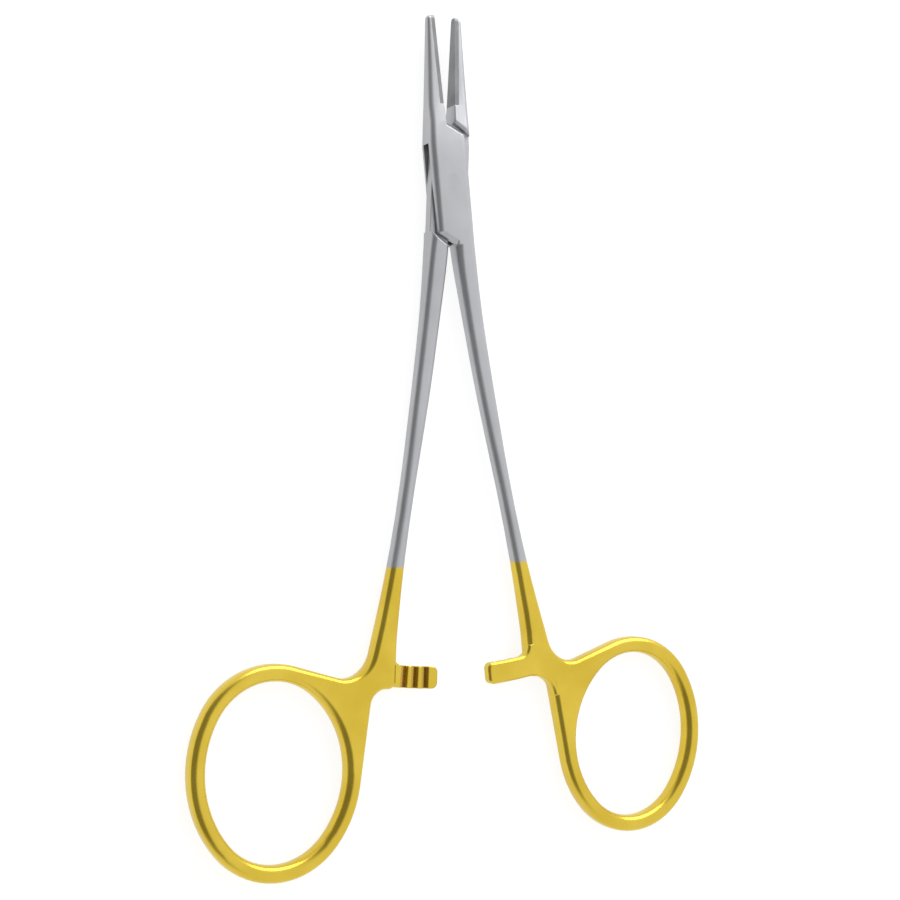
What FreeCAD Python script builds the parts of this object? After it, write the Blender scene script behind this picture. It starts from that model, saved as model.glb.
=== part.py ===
import FreeCAD, Part

import math
import os

import Sketcher

Vector = FreeCAD.Vector

# Box-lock needle holder lying flat, in millimetres. +Y runs to the jaw tips, +Z is up and the
# origin is on the lock's axis at the surface that the holder lies on. Each arm is modelled with
# the jaws closed and its mid-plane at Z = 0, then turned open and lifted by its Placement.
# Rounded edges are made of a few flats each, so that the finger rings stay light as meshes.
SIZES = [
    ("rest_half_angle", 3.95, "turn of each arm from closed to the pose at rest, degrees"),
    ("round_flats", 4, "flats that make up a rounded edge"),
    ("edge_radius", 0.95, "rounding along the lock, the shanks and the outside of the rings"),
    ("face_gap_root", 0.15, "half gap between the closed jaws at their root"),
    ("face_gap_tip", 0.015, "half gap between the closed jaws at their tips"),
    ("jaw_length", 26.2, "axis of the lock to the jaw tips"),
    ("tip_round", 0.62, "rounding of a jaw's tip in plan"),
    ("tip_round_depth", 0.34, "thinning of a jaw's tip from each face over that rounding"),
    ("insert_length", 13.9, "length of a hard insert"),
    ("insert_thickness", 0.6, "thickness of a hard insert"),
    ("lock_half_width", 3.2, "axis to each side of the lock"),
    ("lock_half_length", 6.0, "axis to each end of the lock's full section"),
    ("lock_thickness", 3.8, "thickness over both plates"),
    ("slot_thickness", 1.56, "height of the slot between the plates"),
    ("tongue_clearance", 0.05, "gap between the tongue and each plate"),
    ("plate_edge_inner", 9.4, "free edge of a plate at the crotch, from the axis"),
    ("plate_edge_outer", 7.6, "free edge of a plate at the side, from the axis"),
    ("slot_end_inner", 9.1, "end wall of the slot at the crotch, from the axis"),
    ("slot_end_outer", 6.2, "end wall of the slot at the side, from the axis"),
    ("shoulder_gap", 0.12, "closed gap between a plate's edge and the shoulder it faces"),
    ("slot_end_gap", 0.12, "closed gap between the tongue and the end wall of the slot"),
    ("lock_bevel", 0.45, "bevel along the plate edges and the shoulders"),
    ("cut_margin", 4.0, "reach of the machining cuts past the metal"),
    ("pin_radius", 1.2, "radius of the lock pin"),
    ("pin_head_radius", 1.5, "radius of the pin's riveted ends"),
    ("pin_head_depth", 0.4, "depth of the countersinks that the riveted ends fill"),
    ("pin_clearance", 0.05, "radial running gap of the pin in the tongue"),
    ("handle_thickness", 2.9, "thickness of the ring and of the web above it"),
    ("ring_center_x", 25.3, "middle of a finger ring, across"),
    ("ring_center_drop", 13.4, "middle of a finger ring, below the middle of the ratchet bars"),
    ("ring_tilt", 8.3, "lean of the oval ring's long axis, degrees"),
    ("ring_half_length", 14.3, "half length of the oval through the middle of its band"),
    ("ring_half_width_out", 11.95, "half width of that oval on its outer side"),
    ("ring_half_width_in", 12.35, "half width of that oval on the shank's side"),
    ("ring_end_radius", 10.9, "radius of that oval at both its ends"),
    ("ring_band", 2.5, "width of the ring's band in plan"),
    ("ring_hole_edge_radius", 1.1, "rounding around the finger holes"),
    ("web_top_angle", 104.0, "where the web's top leaves the ring, degrees"),
    ("web_foot_angle", 186.0, "where the web's side leaves the ring, degrees"),
    ("web_top_round", 4.5, "concave round between the shank and the ring"),
    ("web_foot_round", 2.5, "concave round under the ratchet step"),
    ("web_step_round", 1.2, "convex round at the foot of the ratchet step"),
    ("ratchet_radius", 75.45, "axis of the lock to the middle of the ratchet bars"),
    ("ratchet_height", 3.3, "width of a ratchet bar"),
    ("ratchet_overlap", 1.03, "reach of a closed ratchet bar past the middle"),
    ("ratchet_buried", 9.0, "middle to the buried end of a ratchet bar in the web"),
    ("ratchet_gap", 0.05, "each ratchet's tooth crests to the mid-plane"),
    ("ratchet_corner", 0.9, "corner radius at the nose of a ratchet bar"),
    ("ratchet_top_round", 1.6, "concave round between a ratchet bar and its shank"),
    ("ratchet_foot_round", 4.0, "concave round between a ratchet bar and the web's side"),
    ("ratchet_bevel", 0.3, "bevel along the smooth face of a ratchet bar"),
    ("tooth_start", 1.55, "flat nose of a ratchet bar before the first tooth gap"),
    ("tooth_pitch", 1.8, "distance between ratchet teeth"),
    ("tooth_land", 0.5, "flat crest of a ratchet tooth"),
    ("tooth_depth", 0.5, "depth of the ratchet teeth"),
    ("tooth_count", 3, "number of ratchet teeth"),
]

# Stations of a jaw above the axis: distance, outer edge, thickness and rounding of that edge.
JAW_STATIONS = [
    ("jaw_neck", 9.6, 2.88, 3.30, 0.95),
    ("jaw_root", 12.3, 2.70, 2.60, 0.95),
    ("jaw_middle", 19.0, 1.97, 1.88, 0.72),
    ("jaw_end", 25.58, 1.26, 1.20, 0.45),
]

# Stations of a shank below the axis: distance down, inner edge, outer edge and thickness.
SHANK_STATIONS = [
    ("shank_top", 9.4, 0.08, 3.26, 3.55),
    ("shank_root", 13.0, 0.19, 3.45, 3.15),
    ("shank_upper", 18.5, 0.66, 3.74, 2.74),
    ("shank_middle", 32.0, 2.06, 4.87, 2.33),
    ("shank_waist", 46.6, 4.12, 6.33, 2.30),
]

# Further stations, in the same order but measured up from the middle of the ratchet bars.
FOOT_STATIONS = [
    ("shank_lower", 17.25, 5.55, 7.95, 2.42),
    ("shank_foot", 9.45, 6.28, 9.36, 2.80),
    ("shank_end", 5.45, 6.55, 10.20, 2.90),
]


def fill_sheet(doc):
    """Write every driving size into the sheet as a plain number with an alias and a note."""
    sheet = doc.addObject("Spreadsheet::Sheet", "sizes")
    rows = list(SIZES)
    for name, up, outer, thickness, edge_round in JAW_STATIONS:
        rows.append((name + "_up", up, "station of the jaw above the axis"))
        rows.append((name + "_outer", outer, "outer edge of the jaw at that station"))
        rows.append((name + "_thickness", thickness, "thickness of the jaw at that station"))
        rows.append((name + "_round", edge_round, "rounding of the jaw's outer edge there"))
    for name, down, inner, outer, thickness in SHANK_STATIONS:
        rows.append((name + "_down", down, "station of the shank below the axis"))
    for name, rise, inner, outer, thickness in FOOT_STATIONS:
        rows.append((name + "_rise", rise, "station of the shank above the ratchet bars"))
    for name, place_along, inner, outer, thickness in SHANK_STATIONS + FOOT_STATIONS:
        rows.append((name + "_inner", inner, "inner edge of the shank at that station"))
        rows.append((name + "_outer", outer, "outer edge of the shank at that station"))
        rows.append((name + "_thickness", thickness, "thickness of the shank at that station"))
    for number, (alias, value, note) in enumerate(rows, start=1):
        sheet.set("A%d" % number, note)
        sheet.set("B%d" % number, str(value))
        sheet.setAlias("B%d" % number, alias)
    doc.recompute()
    return sheet


def station_down(size, name):
    """Distance of a station of the shank below the axis."""
    if name in [station[0] for station in FOOT_STATIONS]:
        return size("ratchet_radius") - size(name + "_rise")
    return size(name + "_down")


def polar(center, radius, degrees):
    """Point at a radius and an angle about a center in the plan."""
    turn = math.radians(degrees)
    return center + Vector(radius * math.cos(turn), radius * math.sin(turn), 0)


def line_crossing(first, first_way, second, second_way):
    """Point where two lines in the plan meet."""
    gap = second - first
    cross = first_way.x * second_way.y - first_way.y * second_way.x
    along = (gap.x * second_way.y - gap.y * second_way.x) / cross
    return first + first_way * along


def corner_round(corner, way_in, way_out, radius):
    """Ends and arc that round a corner: way_in runs to the corner and way_out leaves it."""
    turn = way_in.getAngle(way_out)
    reach = radius * math.tan(turn / 2)
    start = corner - way_in * reach
    end = corner + way_out * reach
    inward = (way_out - way_in).normalize()
    middle = corner + inward * (radius / math.cos(turn / 2) - radius)
    return start, end, Part.Arc(start, middle, end).toShape()


def circle_arc(center, radius, start, end):
    """Arc about a center from a start direction to an end direction, the short way round."""
    first = (start - center).normalize() * radius
    last = (end - center).normalize() * radius
    middle = (first + last).normalize() * radius
    return Part.Arc(center + first, center + middle, center + last).toShape()


def round_steps(size, radius):
    """Flats of a rounded edge as pairs: inset from the side, and inset from the face."""
    count = int(size("round_flats"))
    steps = []
    for step in range(count + 1):
        turn = math.pi / 2 * step / count
        steps.append((radius * (1 - math.sin(turn)), radius * (1 - math.cos(turn))))
    return steps


def bar_section(size, along, inner, outer, thickness, inner_round, outer_round):
    """Cross-section of an arm in a plane across Y, its side edges rounded in flats or sharp."""
    half = thickness / 2
    points = []
    rising = round_steps(size, outer_round) if outer_round else [(0, 0)]
    for side, face in rising:
        points.append(Vector(outer - side, along, face - half))
    for side, face in reversed(rising):
        points.append(Vector(outer - side, along, half - face))
    falling = round_steps(size, inner_round) if inner_round else [(0, 0)]
    for side, face in falling:
        points.append(Vector(inner + side, along, half - face))
    for side, face in reversed(falling):
        points.append(Vector(inner + side, along, face - half))
    points.append(points[0])
    return Part.makePolygon(points)


def mirrored(wire):
    """Section with its X turned over, for a piece on the -X side."""
    return wire.mirror(Vector(0, 0, 0), Vector(1, 0, 0))


def jaw_face(size, up):
    """Half gap between the closed jaws at a height; along the inserts it narrows to the tips."""
    root = size("face_gap_root")
    share = 1 - (size("jaw_length") - up) / size("insert_length")
    return root + (size("face_gap_tip") - root) * max(0.0, share)


def jaw_solids(size):
    """Half-round jaw on the -X side above its neck, and its rounded tip."""
    sections = []
    for name in [station[0] for station in JAW_STATIONS]:
        up = size(name + "_up")
        sections.append(bar_section(size, up, jaw_face(size, up), size(name + "_outer"),
                                    size(name + "_thickness"), 0, size(name + "_round")))
    start = size("jaw_end_up")
    half = size("jaw_end_thickness") / 2
    cap = [sections[-1]]
    count = int(size("round_flats"))
    for step in range(1, count + 1):
        turn = math.pi / 2 * step / count
        inset = 1 - math.cos(turn)
        up = start + (size("jaw_length") - start) * math.sin(turn)
        thin = half - inset * size("tip_round_depth")
        outer = size("jaw_end_outer") - inset * size("tip_round")
        edge_round = size("jaw_end_round") * thin / half
        cap.append(bar_section(size, up, jaw_face(size, up), outer, 2 * thin, 0, edge_round))
    return [Part.makeLoft([mirrored(wire) for wire in wires], True, True)
            for wires in (sections, cap)]


def half_plane(size, edge_inner, edge_outer, start, height):
    """Prism over the plan area below a diagonal line that crosses the lock, from X = start on."""
    slope = (edge_inner - edge_outer) / size("lock_half_width")
    far = size("lock_half_width") + size("cut_margin")
    return Part.Face(Part.makePolygon([
        Vector(start, 0, -height),
        Vector(far, 0, -height),
        Vector(far, edge_inner - slope * far, -height),
        Vector(start, edge_inner - slope * start, -height),
        Vector(start, 0, -height),
    ])).extrude(Vector(0, 0, 2 * height))


def lock_solids(size, edge_inner, edge_outer):
    """Lock of an arm: full section in the middle and a diagonal end beside the jaw and shank."""
    half_width = size("lock_half_width")
    half_length = size("lock_half_length")
    thickness = size("lock_thickness")
    radius = size("edge_radius")
    gap = size("face_gap_root")
    middle = Part.makeLoft([
        bar_section(size, -half_length, -half_width, half_width, thickness, radius, radius),
        bar_section(size, half_length, -half_width, half_width, thickness, radius, radius),
    ], True, True)
    upper = Part.makeLoft([
        bar_section(size, half_length, -half_width, half_width, thickness, radius, radius),
        bar_section(size, size("jaw_neck_up"), -size("jaw_neck_outer"), half_width,
                    size("jaw_neck_thickness"), radius, radius),
    ], True, True)
    lower = Part.makeLoft([
        bar_section(size, -half_length, -half_width, half_width, thickness, radius, radius),
        bar_section(size, -size("shank_top_down"), -half_width, size("shank_top_outer"),
                    size("shank_top_thickness"), radius, radius),
    ], True, True)
    reach = half_width + size("cut_margin")
    above = Part.makeBox(reach, reach, 2 * thickness, Vector(-gap, half_length, -thickness))
    above = above.cut(half_plane(size, edge_inner, edge_outer, -reach, 2 * thickness))
    below = Part.makeBox(reach + size("shank_top_inner"), reach, 2 * thickness,
                         Vector(-reach, -half_length - reach, -thickness))
    other_half = half_plane(size, edge_inner, edge_outer, -reach, 2 * thickness)
    other_half.rotate(Vector(0, 0, 0), Vector(0, 0, 1), 180)
    below = below.cut(other_half)
    return [middle, upper.cut(above), lower.cut(below)]


def bevel_wedge(size, edge_inner, edge_outer, start, end, side):
    """Wedge that bevels the front of a diagonal edge; side is -1 below the edge, 1 above it."""
    bevel = size("lock_bevel")
    slope = (edge_inner - edge_outer) / size("lock_half_width")
    reach = bevel * math.sqrt(1 + slope ** 2) * side
    drop = (size("lock_thickness") - size("jaw_neck_thickness")) / 2
    fall = drop / (size("jaw_neck_up") - size("lock_half_length"))
    ends = []
    for across in (start, end):
        along = edge_inner + side * slope * across
        height = size("lock_thickness") / 2 - max(0, along - size("lock_half_length")) * fall
        ends.append(Part.makePolygon([
            Vector(across, along - reach, height - 2 * bevel),
            Vector(across, along + 2 * reach, height + bevel),
            Vector(across, along - reach, height + bevel),
            Vector(across, along - reach, height - 2 * bevel),
        ]))
    return Part.makeLoft(ends, True, True)


def all_around(wedge):
    """A wedge and its copies at the rear face and at the other end of the lock."""
    rear = wedge.mirror(Vector(0, 0, 0), Vector(0, 0, 1))
    copies = [wedge, rear]
    for item in (wedge, rear):
        turned = item.copy()
        turned.rotate(Vector(0, 0, 0), Vector(0, 0, 1), 180)
        copies.append(turned)
    return copies


class Oval:
    """Four-arc oval of the finger ring, leaning by its tilt, drawn through its band's middle."""

    def __init__(self, size):
        down = size("ratchet_radius") + size("ring_center_drop")
        self.center = Vector(size("ring_center_x"), -down, 0)
        lean = math.radians(size("ring_tilt"))
        long_way = Vector(math.sin(lean), math.cos(lean), 0)
        wide_way = Vector(math.cos(lean), -math.sin(lean), 0)
        self.end_radius = size("ring_end_radius")
        rise = size("ring_half_length") - self.end_radius
        self.top = self.center + long_way * rise
        self.bottom = self.center - long_way * rise
        out_half = size("ring_half_width_out")
        in_half = size("ring_half_width_in")
        self.out_radius = self.side_radius(out_half, rise)
        self.in_radius = self.side_radius(in_half, rise)
        self.out_center = self.center + wide_way * (out_half - self.out_radius)
        self.in_center = self.center - wide_way * (in_half - self.in_radius)

    def side_radius(self, half, rise):
        """Radius of the side arc that touches both end arcs at a half width."""
        return (half ** 2 + rise ** 2 - self.end_radius ** 2) / (2 * (half - self.end_radius))

    def meeting(self, end_center, side_center, offset):
        """Point where an end arc runs into a side arc, offset outwards."""
        return end_center + (end_center - side_center).normalize() * (self.end_radius + offset)

    def hole(self, offset):
        """Closed wire of the oval, offset outwards."""
        top_out = self.meeting(self.top, self.out_center, offset)
        foot_out = self.meeting(self.bottom, self.out_center, offset)
        foot_in = self.meeting(self.bottom, self.in_center, offset)
        top_in = self.meeting(self.top, self.in_center, offset)
        return Part.Wire([
            circle_arc(self.top, self.end_radius + offset, top_in, top_out),
            circle_arc(self.out_center, self.out_radius + offset, top_out, foot_out),
            circle_arc(self.bottom, self.end_radius + offset, foot_out, foot_in),
            circle_arc(self.in_center, self.in_radius + offset, foot_in, top_in),
        ])


def web_side(size, inset):
    """A point on the straight side of the web and the way that it runs up to the ratchet."""
    oval = Oval(size)
    radius = oval.in_radius + size("ring_band") / 2 - inset
    way = polar(Vector(0, 0, 0), 1, size("web_foot_angle") - 90)
    return polar(oval.in_center, radius, size("web_foot_angle")), way


def handle_plan(size, inset):
    """Outline of web and ring from the end of the shank down, moved inwards by an inset."""
    oval = Oval(size)
    band = size("ring_band") / 2 - inset
    end_radius = oval.end_radius + band
    in_radius = oval.in_radius + band
    end = -station_down(size, "shank_end")
    outer_end = Vector(size("shank_end_outer"), end, 0)
    outer_foot = Vector(size("shank_foot_outer"), -station_down(size, "shank_foot"), 0)
    shank_way = (outer_end - outer_foot).normalize()
    outer_end = outer_end - Vector(inset, 0, 0)
    inner_end = Vector(size("shank_end_inner") + inset, end, 0)

    # Top of the web: a tangent of the ring meets the line of the shank in a concave round.
    leave = polar(oval.top, end_radius, size("web_top_angle"))
    leave_way = polar(Vector(0, 0, 0), 1, size("web_top_angle") - 90)
    corner = line_crossing(outer_end, shank_way, leave, leave_way)
    top_start, top_end, top_arc = corner_round(corner, shank_way, leave_way,
                                               size("web_top_round") + inset)

    # Side of the web: a tangent of the ring runs up to the foot line of the ratchet.
    join, join_way = web_side(size, inset)
    left = Vector(-1, 0, 0)
    up = Vector(0, 1, 0)
    step_down = size("ratchet_radius") + size("ratchet_height") / 2 - inset
    foot_corner = line_crossing(join, join_way, Vector(0, -step_down, 0), left)
    foot_start, foot_end, foot_arc = corner_round(foot_corner, join_way, left,
                                                  size("web_foot_round") + inset)
    step_corner = Vector(inner_end.x, -step_down, 0)
    step_start, step_end, step_arc = corner_round(step_corner, left, up,
                                                  size("web_step_round") - inset)

    top_out = oval.meeting(oval.top, oval.out_center, band)
    foot_out = oval.meeting(oval.bottom, oval.out_center, band)
    foot_in = oval.meeting(oval.bottom, oval.in_center, band)
    return Part.Wire([
        Part.makeLine(inner_end, outer_end),
        Part.makeLine(outer_end, top_start),
        top_arc,
        Part.makeLine(top_end, leave),
        circle_arc(oval.top, end_radius, leave, top_out),
        circle_arc(oval.out_center, oval.out_radius + band, top_out, foot_out),
        circle_arc(oval.bottom, end_radius, foot_out, foot_in),
        circle_arc(oval.in_center, in_radius, foot_in, join),
        Part.makeLine(join, foot_start),
        foot_arc,
        Part.makeLine(foot_end, step_start),
        step_arc,
        Part.makeLine(step_end, inner_end),
    ])


def rounded_plate(size, thickness, radius, outline):
    """Plate over an outline whose edges are rounded in flats; outline(inset) gives each level."""
    half = thickness / 2
    steps = round_steps(size, radius)
    levels = [(inset, face - half) for inset, face in steps]
    levels += [(inset, half - face) for inset, face in reversed(steps)]
    wires = []
    for inset, height in levels:
        wire = outline(inset)
        wire.translate(Vector(0, 0, height))
        wires.append(wire)
    return Part.makeLoft(wires, True, True)


def handle_solid(size):
    """Finger ring and web."""
    thickness = size("handle_thickness")
    band = size("ring_band") / 2
    oval = Oval(size)
    plate = rounded_plate(size, thickness, size("edge_radius"),
                          lambda inset: handle_plan(size, inset))
    hole = rounded_plate(size, thickness, size("ring_hole_edge_radius"),
                         lambda inset: oval.hole(inset - band))
    return plate.cut(hole)


def shank_solid(size):
    """Shank through its stations; the last is the same as the cut face of the handle."""
    radius = size("edge_radius")
    sections = [bar_section(size, -station_down(size, name), size(name + "_inner"),
                            size(name + "_outer"), size(name + "_thickness"), radius, radius)
                for name in [station[0] for station in SHANK_STATIONS + FOOT_STATIONS]]
    return Part.makeLoft(sections, True, False)


def ratchet_solid(size, front):
    """Ratchet bar of the +X arm on the front or rear half of the handle, running to a nose."""
    low = size("ratchet_gap")
    high = size("handle_thickness") / 2
    inner = size("ratchet_radius") - size("ratchet_height") / 2
    outer = size("ratchet_radius") + size("ratchet_height") / 2
    nose = -size("ratchet_overlap")
    buried = size("ratchet_buried")
    tall = Vector(0, 0, high - low)
    base = Vector(0, 0, low)
    up_way = Vector(0, 0, 1)
    band = Part.makeCylinder(outer, tall.z, base).cut(Part.makeCylinder(inner, tall.z, base))
    bar = band.common(Part.makeBox(buried - nose, size("ratchet_height") * 2, tall.z,
                                   Vector(nose, -outer, low)))
    corners = [edge for edge in bar.Edges
               if edge.BoundBox.ZLength > tall.z / 2 and abs(edge.BoundBox.XMin - nose) < 1e-6]
    bar = bar.makeFillet(size("ratchet_corner"), corners)

    # Filling between the bar's upper side and the shank, hollowed by the concave round.
    radius = size("ratchet_top_round")
    wall = size("shank_end_inner")
    across = wall - radius
    middle = Vector(across, -math.sqrt((inner - radius) ** 2 - across ** 2), low)
    touch = middle * (inner / (inner - radius))
    filling = Part.Face(Part.makePolygon([
        Vector(touch.x, touch.y, low),
        Vector(touch.x, middle.y, low),
        Vector(buried, middle.y, low),
        Vector(buried, touch.y - radius, low),
        Vector(touch.x, touch.y, low),
    ])).extrude(tall)
    top = filling.cut(Part.makeCylinder(radius, tall.z, middle, up_way))

    # Filling between the bar's lower side and the side of the web.
    radius = size("ratchet_foot_round")
    point, way = web_side(size, 0)
    normal = Vector(-way.y, way.x, 0)
    start = point + normal * radius
    forward = start.dot(way)
    reach = math.sqrt(forward ** 2 - start.dot(start) + (outer + radius) ** 2)
    middle = start + way * (reach - forward if reach < forward else -reach - forward)
    touch = middle * (outer / (outer + radius))
    side = middle - normal * radius
    filling = Part.Face(Part.makePolygon([
        Vector(touch.x, touch.y, low),
        Vector(touch.x, middle.y, low),
        Vector(side.x, side.y, low),
        Vector(side.x + 1, side.y, low),
        Vector(buried, -inner, low),
        Vector(touch.x, touch.y, low),
    ])).extrude(tall)
    middle.z = low
    foot = filling.cut(Part.makeCylinder(radius, tall.z, middle, up_way))
    bar = bar.fuse([top, foot]).removeSplitter()
    rims = [edge for edge in bar.Edges
            if edge.BoundBox.ZMin > high - 1e-6 and edge.BoundBox.XMax < buried - 1e-3]
    bar = bar.makeChamfer(size("ratchet_bevel"), rims)
    if front:
        return bar
    return bar.mirror(Vector(0, 0, 0), Vector(0, 0, 1))


def forging(size, edges, shoulders, front):
    """Blank of an arm: jaw on the -X side, shank, finger ring and ratchet bar on the +X side."""
    pieces = lock_solids(size, edges[0], edges[1])
    pieces += jaw_solids(size)
    pieces += [shank_solid(size), handle_solid(size), ratchet_solid(size, front)]
    blank = pieces[0].multiFuse(pieces[1:])
    gap = size("face_gap_root")
    reach = size("lock_half_width") + size("cut_margin")
    if shoulders:
        wedge = bevel_wedge(size, shoulders[0], shoulders[1], -reach, gap, 1)
    else:
        wedge = bevel_wedge(size, edges[0], edges[1], -gap, reach, -1)
    blank = blank.cut(all_around(wedge))
    return blank.removeSplitter().Solids[0]


def origin_item(body, role):
    """Plane or axis of a body's origin with a role."""
    return [item for item in body.Origin.OriginFeatures if item.Role == role][0]


def attach(body, name, role):
    """Empty sketch on one of a body's origin planes."""
    sketch = body.newObject("Sketcher::SketchObject", name)
    sketch.AttachmentSupport = [(origin_item(body, role), "")]
    sketch.MapMode = "FlatFace"
    return sketch


def draw_polygon(sketch, corners):
    """Closed polygon whose corners are placed by formulas of the sheet, given as pairs of text."""
    count = len(corners)
    guess = [polar(Vector(0, 0, 0), 10.0, 360.0 * step / count) for step in range(count)]
    for step in range(count):
        sketch.addGeometry(Part.LineSegment(guess[step], guess[(step + 1) % count]), False)
    for step in range(count):
        sketch.addConstraint(Sketcher.Constraint("Coincident", step, 2, (step + 1) % count, 1))
    for step, (across, along) in enumerate(corners):
        rows = [("DistanceX", across, guess[step].x), ("DistanceY", along, guess[step].y)]
        for kind, text, value in rows:
            index = sketch.addConstraint(Sketcher.Constraint(kind, -1, 1, step, 1, value))
            label = "corner%d_%s" % (step + 1, kind[-1].lower())
            sketch.renameConstraint(index, label)
            sketch.setExpression("Constraints." + label, text)


def draw_circle(sketch, radius):
    """Circle about the sketch's origin with its radius placed by a formula of the sheet."""
    sketch.addGeometry(Part.Circle(Vector(0, 0, 0), Vector(0, 0, 1), 1.0), False)
    sketch.addConstraint(Sketcher.Constraint("Coincident", 0, 3, -1, 1))
    index = sketch.addConstraint(Sketcher.Constraint("Radius", 0, 1.0))
    sketch.renameConstraint(index, "bore_radius")
    sketch.setExpression("Constraints.bore_radius", radius)


def cut_both_ways(body, name, sketch, length):
    """Pocket of a sketch on the mid-plane, to both sides."""
    pocket = body.newObject("PartDesign::Pocket", name)
    pocket.Profile = sketch
    pocket.Midplane = True
    pocket.setExpression("Length", length)
    return pocket


def seat_corners(side):
    """Corners of the insert's seat in plan; side is the sign of the jaw's X."""
    start = "sizes.jaw_length - sizes.insert_length"
    end = "sizes.jaw_length"
    past = "sizes.jaw_length + sizes.cut_margin"
    root = "%d * (sizes.face_gap_root + sizes.insert_thickness)" % side
    tip = "%d * (sizes.face_gap_tip + sizes.insert_thickness)" % side
    open_side = "%d * sizes.cut_margin" % -side
    return [(root, start), (tip, end), (tip, past), (open_side, past), (open_side, start)]


def pin_corners():
    """Half outline of the pin and of its countersunk bore, as radius and height."""
    top = "sizes.lock_thickness / 2"
    neck = "sizes.lock_thickness / 2 - sizes.pin_head_depth"
    return [
        ("0", "-(%s)" % top),
        ("sizes.pin_head_radius", "-(%s)" % top),
        ("sizes.pin_radius", "-(%s)" % neck),
        ("sizes.pin_radius", neck),
        ("sizes.pin_head_radius", top),
        ("0", top),
    ]


def place(item, side):
    """Turn an arm's piece open to the pose at rest and lift it onto the surface."""
    item.Placement = FreeCAD.Placement(Vector(0, 0, 1), FreeCAD.Rotation(Vector(0, 0, 1), 1.0))
    item.setExpression("Placement.Rotation.Angle", "%d deg * sizes.rest_half_angle" % side)
    item.setExpression("Placement.Base.z", "sizes.lock_thickness / 2")


def add_body(doc, name, label, base):
    """Body with a name and a label, on a forged blank where there is one."""
    body = doc.addObject("PartDesign::Body", name)
    body.Label = label
    if base is not None:
        body.BaseFeature = base
    return body


def ratchet_teeth(body, side):
    """Tooth gaps across the ratchet bar of the arm whose shank is on a side: steep wall, ramp."""
    start = "%d * (sizes.tooth_start - sizes.ratchet_overlap)" % side
    end = "%d * (sizes.tooth_start - sizes.ratchet_overlap + sizes.tooth_pitch - sizes.tooth_land)" % side
    crest = "%d * sizes.ratchet_gap" % side
    root = "%d * (sizes.ratchet_gap + sizes.tooth_depth)" % side
    clear = "%d * sizes.tooth_depth" % -side
    sketch = attach(body, "tooth_gap_outline", "XZ_Plane")
    draw_polygon(sketch, [(start, clear), (start, root), (end, crest), (end, clear)])
    sketch.setExpression("AttachmentOffset.Base.z", "sizes.ratchet_radius - sizes.ratchet_height")
    gap = body.newObject("PartDesign::Pocket", "tooth_gap")
    gap.Profile = sketch
    gap.Reversed = True
    gap.setExpression("Length", "2 * sizes.ratchet_height")
    body.Document.recompute()
    teeth = body.newObject("PartDesign::PolarPattern", "tooth_gaps")
    teeth.Originals = [gap]
    teeth.Axis = (origin_item(body, "Z_Axis"), [""])
    teeth.Reversed = side < 0
    teeth.setExpression("Occurrences", "sizes.tooth_count")
    step = "sizes.tooth_pitch / sizes.ratchet_radius * 180 deg / pi"
    teeth.setExpression("Angle", "(sizes.tooth_count - 1) * %s" % step)
    body.Tip = teeth
    return teeth


def female_arm(doc, blank):
    """Outer arm: slot for the tongue, countersunk bore, insert seat and teeth to the rear."""
    body = add_body(doc, "female_arm", "Female arm", blank)
    slot = attach(body, "slot_plan", "XY_Plane")
    outer = "sizes.lock_half_width + sizes.cut_margin"
    drop = "(sizes.slot_end_inner - sizes.slot_end_outer) / sizes.lock_half_width"
    wall = "sizes.slot_end_inner - %s * (%s)" % (drop, outer)
    past = "sizes.plate_edge_inner + sizes.cut_margin"
    draw_polygon(slot, [
        ("-(%s)" % outer, wall),
        ("0", "sizes.slot_end_inner"),
        ("0", past),
        (outer, past),
        (outer, "-(%s)" % wall),
        ("0", "-sizes.slot_end_inner"),
        ("0", "-(%s)" % past),
        ("-(%s)" % outer, "-(%s)" % past),
    ])
    cut_both_ways(body, "slot", slot, "sizes.slot_thickness")
    bore = attach(body, "pin_bore_outline", "XZ_Plane")
    draw_polygon(bore, pin_corners())
    groove = body.newObject("PartDesign::Groove", "pin_bore")
    groove.Profile = bore
    groove.ReferenceAxis = (bore, ["V_Axis"])
    groove.Angle = 360.0
    seat = attach(body, "insert_seat_plan", "XY_Plane")
    draw_polygon(seat, seat_corners(-1))
    cut_both_ways(body, "insert_seat", seat, "sizes.lock_thickness")
    ratchet_teeth(body, 1)
    place(body, 1)
    return body


def male_arm(doc, blank):
    """Inner arm: tongue thinned from both faces, running bore, insert seat, teeth to the front."""
    body = add_body(doc, "male_arm", "Male arm", blank)
    outer = "sizes.lock_half_width + sizes.cut_margin"
    slope = "(sizes.plate_edge_inner - sizes.plate_edge_outer) / sizes.lock_half_width"
    middle = "sizes.plate_edge_inner + sizes.shoulder_gap"
    low = "%s - %s * (%s)" % (middle, slope, outer)
    high = "%s + %s * (%s)" % (middle, slope, outer)
    tongue = "(sizes.slot_thickness / 2 - sizes.tongue_clearance)"
    for name, way in [("tongue_front", 1), ("tongue_rear", -1)]:
        plan = attach(body, name + "_plan", "XY_Plane")
        draw_polygon(plan, [
            (outer, low),
            ("-(%s)" % outer, high),
            ("-(%s)" % outer, "-(%s)" % low),
            (outer, "-(%s)" % high),
        ])
        plan.setExpression("AttachmentOffset.Base.z", "%d * %s" % (way, tongue))
        pocket = body.newObject("PartDesign::Pocket", name)
        pocket.Profile = plan
        pocket.Reversed = way > 0
        pocket.setExpression("Length", "sizes.lock_thickness")
    bore = attach(body, "pin_bore_plan", "XY_Plane")
    draw_circle(bore, "sizes.pin_radius + sizes.pin_clearance")
    cut_both_ways(body, "pin_bore", bore, "sizes.lock_thickness")
    seat = attach(body, "insert_seat_plan", "XY_Plane")
    draw_polygon(seat, seat_corners(1))
    cut_both_ways(body, "insert_seat", seat, "sizes.lock_thickness")
    ratchet_teeth(body, -1)
    place(body, -1)
    return body


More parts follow.
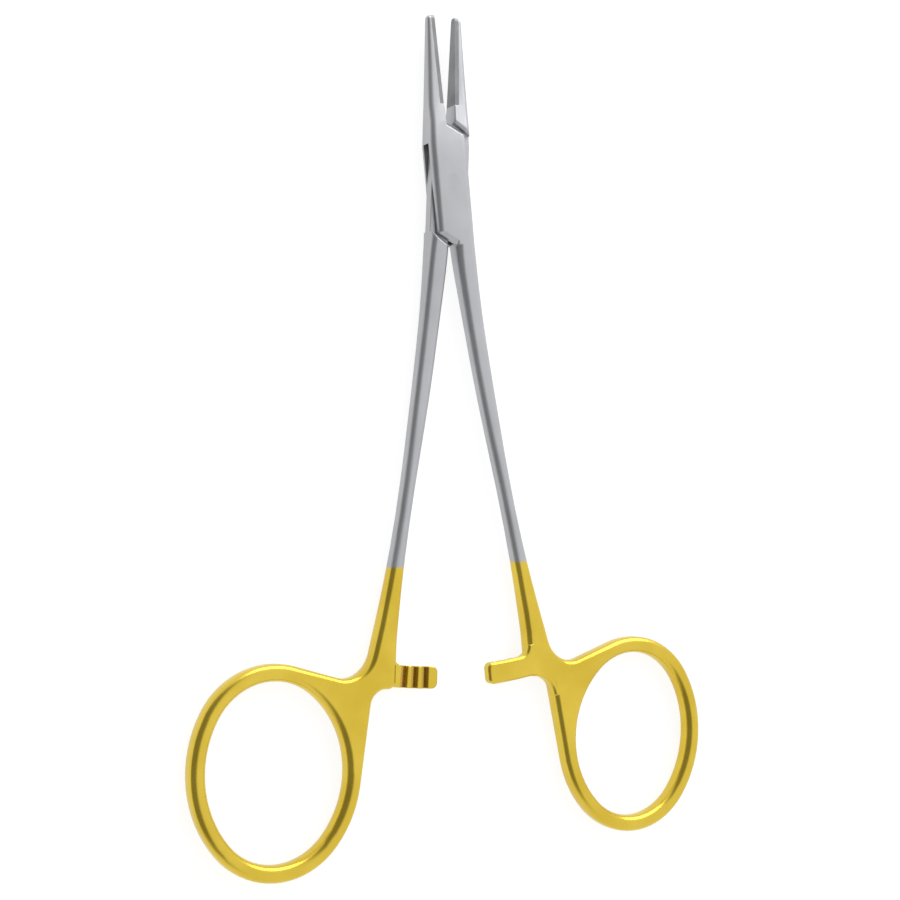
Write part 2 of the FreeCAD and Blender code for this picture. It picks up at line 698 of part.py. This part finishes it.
def insert(doc, name, label, blank, side):
    """Hard insert: the part of the forged jaw's form that lies in the seat."""
    plan = doc.addObject("Sketcher::SketchObject", name + "_plan")
    draw_polygon(plan, seat_corners(side))
    block = doc.addObject("Part::Extrusion", name + "_block")
    block.Base = plan
    block.DirMode = "Custom"
    block.Dir = Vector(0, 0, 1)
    block.Symmetric = True
    block.Solid = True
    block.setExpression("LengthFwd", "sizes.lock_thickness")
    piece = doc.addObject("Part::Common", name)
    piece.Label = label
    piece.Base = blank
    piece.Tool = block
    place(piece, -side)
    return piece


def pivot_pin(doc):
    """Pin with riveted ends that fill the countersinks flush."""
    body = add_body(doc, "pivot_pin", "Pivot pin", None)
    outline = attach(body, "pin_outline", "XZ_Plane")
    draw_polygon(outline, pin_corners())
    turned = body.newObject("PartDesign::Revolution", "pin")
    turned.Profile = outline
    turned.ReferenceAxis = (outline, ["V_Axis"])
    turned.Angle = 360.0
    place(body, 1)
    return body


def main():
    os.makedirs("parts", exist_ok=True)
    doc = FreeCAD.newDocument("needle_holder")
    sheet = fill_sheet(doc)
    size = sheet.get
    plate_edges = (size("plate_edge_inner"), size("plate_edge_outer"))
    female_blank = doc.addObject("Part::Feature", "female_blank")
    female_blank.Shape = forging(size, plate_edges, None, True)
    end_gap = size("slot_end_gap")
    tongue_edges = (size("slot_end_inner") - end_gap, size("slot_end_outer") - end_gap)
    shoulder = size("shoulder_gap")
    shoulders = (plate_edges[0] + shoulder, plate_edges[1] + shoulder)
    male_form = forging(size, tongue_edges, shoulders, False)
    male_blank = doc.addObject("Part::Feature", "male_blank")
    male_blank.Shape = male_form.mirror(Vector(0, 0, 0), Vector(1, 0, 0))
    nodes = [
        female_arm(doc, female_blank),
        male_arm(doc, male_blank),
        pivot_pin(doc),
        insert(doc, "female_insert", "Female arm's insert", female_blank, -1),
        insert(doc, "male_insert", "Male arm's insert", male_blank, 1),
    ]
    doc.recompute()
    for item in doc.Objects:
        if "Invalid" in item.State or "Error" in item.State:
            raise ValueError("%s: %s" % (item.Name, item.State))
    for node in nodes:
        shape = node.Shape
        if shape.isNull() or not shape.isValid() or len(shape.Solids) != 1:
            raise ValueError("%s: %d solids" % (node.Name, len(shape.Solids)))
    for node in nodes:
        node.Shape.exportStep("parts/%s.step" % node.Name)
        print(node.Name, round(node.Shape.Volume, 2), node.Shape.BoundBox)


main()
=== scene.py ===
import math

import bpy
from mathutils import Matrix, Vector

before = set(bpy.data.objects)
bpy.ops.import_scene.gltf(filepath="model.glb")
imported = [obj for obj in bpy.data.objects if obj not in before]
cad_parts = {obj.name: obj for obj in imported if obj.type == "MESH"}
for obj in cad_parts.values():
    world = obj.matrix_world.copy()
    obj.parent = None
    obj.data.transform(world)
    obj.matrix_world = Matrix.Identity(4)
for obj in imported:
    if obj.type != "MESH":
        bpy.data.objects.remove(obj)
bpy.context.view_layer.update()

MM = 0.001

STEEL = (0.44, 0.445, 0.465, 1)
STEEL_LIGHT = (0.50, 0.505, 0.525, 1)
GOLD = (0.74, 0.55, 0.075, 1)
GOLD_DEEP = (0.66, 0.47, 0.05, 1)
# A darker brown gold: painted shade in the ratchets' notches
GOLD_PAINTED_SHADE = (0.55, 0.35, 0.07, 1)
HARD_METAL = (0.20, 0.205, 0.21, 1)
HARD_METAL_LIGHT = (0.27, 0.275, 0.28, 1)

# The ratchet bars about the lock's axis: their two sides, and the teeth from the mid-height, which
# bound the painted shade in the notches
MID_HEIGHT = 1.9 * MM
BAR_INNER = 73.85 * MM
BAR_OUTER = 77.05 * MM
TOOTH_CREST = 0.08 * MM
TOOTH_FADE = 0.16 * MM
TOOTH_ROOT = 0.60 * MM
RAMP_FACING = 0.4

# The gold plating starts and is full at these heights along the arm
PLATING_START = -58.1 * MM
PLATING_FULL = -58.7 * MM

# Edges are broken by a small radius, but not around the pin, which is ground flush
EDGE_SOFTENING = 0.28 * MM
PIN_SURROUND = 2.2 * MM

# Surface grain, and the smoothing of the roundings' flats
GRAIN_HEIGHT = 0.00002
RING_HEIGHT = 0.00001
WELD_DISTANCE = 0.000001
SMOOTH_BELOW_DEGREES = 28.0
FLAT_FACE_WEIGHT = 60


# Material helpers
def new_material(name):
    material = bpy.data.materials.new(name)
    material.use_nodes = True
    tree = material.node_tree
    tree.nodes.clear()
    output = tree.nodes.new("ShaderNodeOutputMaterial")
    shader = tree.nodes.new("ShaderNodeBsdfPrincipled")
    tree.links.new(shader.outputs["BSDF"], output.inputs["Surface"])
    return material, tree, shader


def noise(tree, coordinates, scale, detail=3.0, stretch=(1, 1, 1)):
    mapping = tree.nodes.new("ShaderNodeMapping")
    mapping.inputs["Scale"].default_value = stretch
    tree.links.new(coordinates, mapping.inputs["Vector"])
    texture = tree.nodes.new("ShaderNodeTexNoise")
    texture.inputs["Scale"].default_value = scale
    texture.inputs["Detail"].default_value = detail
    tree.links.new(mapping.outputs["Vector"], texture.inputs["Vector"])
    return texture.outputs["Fac"]


def map_range(tree, value, low, high, to_low, to_high, smooth=False):
    node = tree.nodes.new("ShaderNodeMapRange")
    if smooth:
        node.interpolation_type = "SMOOTHSTEP"
    node.inputs["From Min"].default_value = low
    node.inputs["From Max"].default_value = high
    node.inputs["To Min"].default_value = to_low
    node.inputs["To Max"].default_value = to_high
    tree.links.new(value, node.inputs["Value"])
    return node.outputs["Result"]


def math_node(tree, kind, first, second):
    node = tree.nodes.new("ShaderNodeMath")
    node.operation = kind
    for socket, value in zip(node.inputs, (first, second)):
        if isinstance(value, (int, float)):
            socket.default_value = value
        else:
            tree.links.new(value, socket)
    return node.outputs["Value"]


def mix_colour(tree, factor, first, second):
    node = tree.nodes.new("ShaderNodeMix")
    node.data_type = "RGBA"
    tree.links.new(factor, node.inputs[0])
    for socket, value in ((node.inputs[6], first), (node.inputs[7], second)):
        if isinstance(value, tuple):
            socket.default_value = value
        else:
            tree.links.new(value, socket)
    return node.outputs[2]


def add_bump(tree, shader, height, distance, strength):
    bump = tree.nodes.new("ShaderNodeBump")
    bump.inputs["Distance"].default_value = distance
    bump.inputs["Strength"].default_value = strength
    tree.links.new(height, bump.inputs["Height"])
    tree.links.new(bump.outputs["Normal"], shader.inputs["Normal"])
    return bump


def axis_distance(tree, axes):
    """Distance of a point from the lock's axis."""
    squares = [math_node(tree, "MULTIPLY", axes.outputs[way], axes.outputs[way]) for way in "XY"]
    return math_node(tree, "SQRT", math_node(tree, "ADD", squares[0], squares[1]), 0.0)


def tooth_gaps(tree, axes):
    """1 on the ramps of the ratchets' tooth gaps, which lie between the crests and the roots:
    where the notches get painted shade.
    """
    radius = axis_distance(tree, axes)
    depth = math_node(tree, "SUBTRACT", axes.outputs["Z"], MID_HEIGHT)
    depth = math_node(tree, "ABSOLUTE", depth, 0.0)
    normal = tree.nodes.new("ShaderNodeSeparateXYZ")
    geometry = tree.nodes.new("ShaderNodeNewGeometry")
    tree.links.new(geometry.outputs["True Normal"], normal.inputs["Vector"])
    facing = math_node(tree, "ABSOLUTE", normal.outputs["Z"], 0.0)
    inside = math_node(tree, "GREATER_THAN", facing, RAMP_FACING)
    for kind, value, limit in (("GREATER_THAN", radius, BAR_INNER),
                               ("LESS_THAN", radius, BAR_OUTER),
                               ("LESS_THAN", depth, TOOTH_ROOT)):
        inside = math_node(tree, "MULTIPLY", inside, math_node(tree, kind, value, limit))
    below_crest = map_range(tree, depth, TOOTH_CREST, TOOTH_FADE, 0, 1)
    return math_node(tree, "MULTIPLY", inside, below_crest)


def seen_directly(tree):
    """1 where the camera, a reflection or glass looks at the surface, 0 for its own light."""
    path = tree.nodes.new("ShaderNodeLightPath")
    seen = math_node(tree, "MAXIMUM", path.outputs["Is Camera Ray"], path.outputs["Is Glossy Ray"])
    return math_node(tree, "MAXIMUM", seen, path.outputs["Is Transmission Ray"])


# Materials
def arm_material():
    """Satin steel with a fine grain along the arm, gold-plated from the lower shank down."""
    material, tree, shader = new_material("satin_steel_and_gold_plate")
    place = tree.nodes.new("ShaderNodeTexCoord").outputs["Object"]
    axes = tree.nodes.new("ShaderNodeSeparateXYZ")
    tree.links.new(place, axes.inputs["Vector"])
    cloud = noise(tree, place, 120.0)
    grain = noise(tree, place, 9000.0, 2.0)
    streak = noise(tree, place, 1500.0, stretch=(1, 0.06, 1))

    steel = mix_colour(tree, map_range(tree, cloud, 0.3, 0.7, 0, 1), STEEL, STEEL_LIGHT)
    gold = mix_colour(tree, map_range(tree, cloud, 0.35, 0.65, 0, 1), GOLD_DEEP, GOLD)
    plated = map_range(tree, axes.outputs["Y"], PLATING_START, PLATING_FULL, 0, 1, smooth=True)
    # The ramps of the tooth gaps turn a darker brown gold: painted shade in the notches
    gold = mix_colour(tree, tooth_gaps(tree, axes), gold, GOLD_PAINTED_SHADE)
    tree.links.new(mix_colour(tree, plated, steel, gold), shader.inputs["Base Color"])

    steel_rough = map_range(tree, streak, 0.3, 0.7, 0.36, 0.44)
    gold_rough = map_range(tree, cloud, 0.3, 0.7, 0.19, 0.25)
    rough = tree.nodes.new("ShaderNodeMix")
    tree.links.new(plated, rough.inputs[0])
    tree.links.new(steel_rough, rough.inputs[2])
    tree.links.new(gold_rough, rough.inputs[3])
    tree.links.new(rough.outputs[0], shader.inputs["Roughness"])
    shader.inputs["Metallic"].default_value = 1.0
    height = math_node(tree, "MULTIPLY", grain, map_range(tree, plated, 0, 1, 1.0, 0.15))
    bump = add_bump(tree, shader, height, GRAIN_HEIGHT, 0.35)

    edges = tree.nodes.new("ShaderNodeBevel")
    edges.samples = 6
    away = math_node(tree, "GREATER_THAN", axis_distance(tree, axes), PIN_SURROUND)
    tree.links.new(math_node(tree, "MULTIPLY", away, EDGE_SOFTENING), edges.inputs["Radius"])
    tree.links.new(edges.outputs["Normal"], bump.inputs["Normal"])
    return material


def insert_material():
    """Dull dark hard metal with a fine ground grain."""
    material, tree, shader = new_material("hard_metal_insert")
    place = tree.nodes.new("ShaderNodeTexCoord").outputs["Object"]
    grain = noise(tree, place, 6000.0)
    cloud = noise(tree, place, 300.0)
    colour = mix_colour(tree, map_range(tree, cloud, 0.3, 0.7, 0, 1), HARD_METAL, HARD_METAL_LIGHT)
    tree.links.new(colour, shader.inputs["Base Color"])
    tree.links.new(map_range(tree, grain, 0.3, 0.7, 0.36, 0.46), shader.inputs["Roughness"])
    shader.inputs["Metallic"].default_value = 1.0
    add_bump(tree, shader, grain, GRAIN_HEIGHT, 0.5)
    return material


def pin_material():
    """Ground steel pin end with faint turned rings, as dull as the arm around it."""
    material, tree, shader = new_material("ground_pin")
    place = tree.nodes.new("ShaderNodeTexCoord").outputs["Object"]
    wave = tree.nodes.new("ShaderNodeTexWave")
    wave.wave_type = "RINGS"
    wave.rings_direction = "Z"
    wave.inputs["Scale"].default_value = 900.0
    wave.inputs["Distortion"].default_value = 1.0
    tree.links.new(place, wave.inputs["Vector"])
    cloud = noise(tree, place, 400.0)
    colour = mix_colour(tree, map_range(tree, cloud, 0.3, 0.7, 0, 1), STEEL, STEEL_LIGHT)
    tree.links.new(colour, shader.inputs["Base Color"])
    shader.inputs["Metallic"].default_value = 1.0
    rough = map_range(tree, wave.outputs["Fac"], 0, 1, 0.36, 0.44)
    tree.links.new(rough, shader.inputs["Roughness"])
    add_bump(tree, shader, wave.outputs["Fac"], RING_HEIGHT, 0.2)
    return material


def smoothing_group(degrees):
    """Shading runs smoothly over the flats of a rounded edge and stays sharp at real edges."""
    group = bpy.data.node_groups.new("smooth_roundings", "GeometryNodeTree")
    group.interface.new_socket("Geometry", in_out="INPUT", socket_type="NodeSocketGeometry")
    group.interface.new_socket("Geometry", in_out="OUTPUT", socket_type="NodeSocketGeometry")
    start = group.nodes.new("NodeGroupInput")
    end = group.nodes.new("NodeGroupOutput")
    weld = group.nodes.new("GeometryNodeMergeByDistance")
    weld.inputs["Distance"].default_value = WELD_DISTANCE
    angle = group.nodes.new("GeometryNodeInputMeshEdgeAngle")
    sharp = group.nodes.new("FunctionNodeCompare")
    sharp.data_type = "FLOAT"
    sharp.operation = "GREATER_THAN"
    sharp.inputs["B"].default_value = math.radians(degrees)
    normals = group.nodes.new("GeometryNodeSetMeshNormal")
    normals.mode = "SHARPNESS"
    group.links.new(start.outputs[0], weld.inputs["Geometry"])
    group.links.new(weld.outputs["Geometry"], normals.inputs["Mesh"])
    group.links.new(angle.outputs["Unsigned Angle"], sharp.inputs["A"])
    normals.inputs["Remove Custom"].default_value = True
    group.links.new(sharp.outputs["Result"], normals.inputs["Edge Sharpness"])
    group.links.new(normals.outputs["Mesh"], end.inputs[0])
    return group


ARM = arm_material()
INSERT = insert_material()
PIN = pin_material()
SMOOTHING = smoothing_group(SMOOTH_BELOW_DEGREES)
for node, material in (("female_arm", ARM), ("male_arm", ARM), ("pivot_pin", PIN),
                       ("female_insert", INSERT), ("male_insert", INSERT)):
    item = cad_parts[node]
    item.data.materials.clear()
    item.data.materials.append(material)
    modifier = item.modifiers.new("smooth_roundings", "NODES")
    modifier.node_group = SMOOTHING
    weighted = item.modifiers.new("flat_faces_stay_flat", "WEIGHTED_NORMAL")
    weighted.mode = "FACE_AREA"
    weighted.weight = FLAT_FACE_WEIGHT
    weighted.keep_sharp = True


# Stage
def plane(name, half_width, half_length, location, rotation=(0, 0, 0)):
    mesh = bpy.data.meshes.new(name)
    mesh.from_pydata([(-half_width, -half_length, 0), (half_width, -half_length, 0),
                      (half_width, half_length, 0), (-half_width, half_length, 0)],
                     [], [(0, 1, 2, 3)])
    item = bpy.data.objects.new(name, mesh)
    bpy.context.scene.collection.objects.link(item)
    item.location = location
    item.rotation_euler = rotation
    return item


def stage_material(item, name):
    """Put an empty material on the item and give its node tree and its output node."""
    material = bpy.data.materials.new(name)
    material.use_nodes = True
    material.node_tree.nodes.clear()
    item.data.materials.append(material)
    return material.node_tree, material.node_tree.nodes.new("ShaderNodeOutputMaterial")


# Floor: white where it is seen, with the object's soft shadow kept
FLOOR_HALF_SIDE = 1.5
FLOOR_DROP = 0.02 * MM
FLOOR_GREY = 0.30
FLOOR_GLOW = 0.83
floor = plane("floor", FLOOR_HALF_SIDE, FLOOR_HALF_SIDE, (0, 0, -FLOOR_DROP))
tree, output = stage_material(floor, "pale_floor")
diffuse = tree.nodes.new("ShaderNodeBsdfDiffuse")
diffuse.inputs["Color"].default_value = (FLOOR_GREY, FLOOR_GREY, FLOOR_GREY, 1)
glow = tree.nodes.new("ShaderNodeEmission")
glow_level = math_node(tree, "MULTIPLY", seen_directly(tree), FLOOR_GLOW)
tree.links.new(glow_level, glow.inputs["Strength"])
both = tree.nodes.new("ShaderNodeAddShader")
tree.links.new(diffuse.outputs["BSDF"], both.inputs[0])
tree.links.new(glow.outputs["Emission"], both.inputs[1])
tree.links.new(both.outputs["Shader"], output.inputs["Surface"])

# A dark card beside the camera, seen only by reflections: it gives the rounded edges their tone
# and fades to white at its sides, so that the tone fades too
CARD_HALF_WIDTH = 1.15
CARD_HALF_LENGTH = 1.3
CARD_PLACE = (-0.535, -0.04, 0.595)
CARD_TILT = math.radians(-42)
CARD_DARKEST = 0.28
CARD_EVEN_SHARE = 0.4
card = plane("dark_card", CARD_HALF_WIDTH, CARD_HALF_LENGTH, CARD_PLACE, (0, CARD_TILT, 0))
card.visible_camera = False
card.visible_diffuse = False
card.visible_shadow = False
card.visible_transmission = False
tree, output = stage_material(card, "dark_card")
glow = tree.nodes.new("ShaderNodeEmission")
card_axes = tree.nodes.new("ShaderNodeSeparateXYZ")
tree.links.new(tree.nodes.new("ShaderNodeTexCoord").outputs["Object"], card_axes.inputs["Vector"])
shares = []
for way, half in (("X", CARD_HALF_WIDTH), ("Y", CARD_HALF_LENGTH)):
    off = math_node(tree, "ABSOLUTE", card_axes.outputs[way], 0.0)
    shares.append(map_range(tree, off, CARD_EVEN_SHARE * half, half, 1, 0, smooth=True))
dark = math_node(tree, "MULTIPLY", shares[0], shares[1])
tree.links.new(map_range(tree, dark, 0, 1, 1.0, CARD_DARKEST), glow.inputs["Strength"])
tree.links.new(glow.outputs["Emission"], output.inputs["Surface"])

# Light: the world lights softly, and is white where it is seen
WORLD_AS_LIGHT = 0.65
world = bpy.data.worlds.new("studio")
bpy.context.scene.world = world
world.use_nodes = True
tree = world.node_tree
tree.nodes.clear()
output = tree.nodes.new("ShaderNodeOutputWorld")
background = tree.nodes.new("ShaderNodeBackground")
background.inputs["Color"].default_value = (1, 1, 1, 1)
level = map_range(tree, seen_directly(tree), 0, 1, WORLD_AS_LIGHT, 1.0)
tree.links.new(level, background.inputs["Strength"])
tree.links.new(background.outputs["Background"], output.inputs["Surface"])


def area_light(name, position, target, size, power):
    data = bpy.data.lights.new(name, "AREA")
    data.shape = "RECTANGLE"
    data.size = size[0]
    data.size_y = size[1]
    data.energy = power
    lamp = bpy.data.objects.new(name, data)
    bpy.context.scene.collection.objects.link(lamp)
    lamp.location = position
    way = Vector(target) - Vector(position)
    lamp.rotation_euler = way.to_track_quat("-Z", "Y").to_euler()


CENTRE = (0, -40 * MM, 0)
SOFTBOX_PLACE = (0.43, 0.72, 0.38)
SOFTBOX_SIZE = (0.9, 0.55)
SOFTBOX_WATTS = 5.0
area_light("softbox", SOFTBOX_PLACE, CENTRE, SOFTBOX_SIZE, SOFTBOX_WATTS)

# Camera
AZIMUTH = math.radians(-30.0)
ELEVATION = math.radians(-2.026)
ROLL = math.radians(-1.596)
DISTANCE = 255.68 * MM
TARGET = Vector((-0.86, -40.89, 1.9)) * MM
back = Vector((math.sin(AZIMUTH) * math.cos(ELEVATION), math.sin(ELEVATION),
               math.cos(AZIMUTH) * math.cos(ELEVATION)))
right = (-back).cross(Vector((0, 1, 0))).normalized()
up = right.cross(-back)
right_turned = math.cos(ROLL) * right + math.sin(ROLL) * up
up_turned = -math.sin(ROLL) * right + math.cos(ROLL) * up
turn = Matrix((right_turned, up_turned, back)).transposed()
camera_data = bpy.data.cameras.new("camera")
camera = bpy.data.objects.new("camera", camera_data)
bpy.context.scene.collection.objects.link(camera)
camera.matrix_world = Matrix.Translation(TARGET + back * DISTANCE) @ turn.to_4x4()
camera_data.lens = 66.83
camera_data.sensor_width = 36.0
camera_data.clip_start = 0.01
camera_data.clip_end = 20.0
bpy.context.scene.camera = camera
bpy.context.scene.view_settings.view_transform = "Standard"
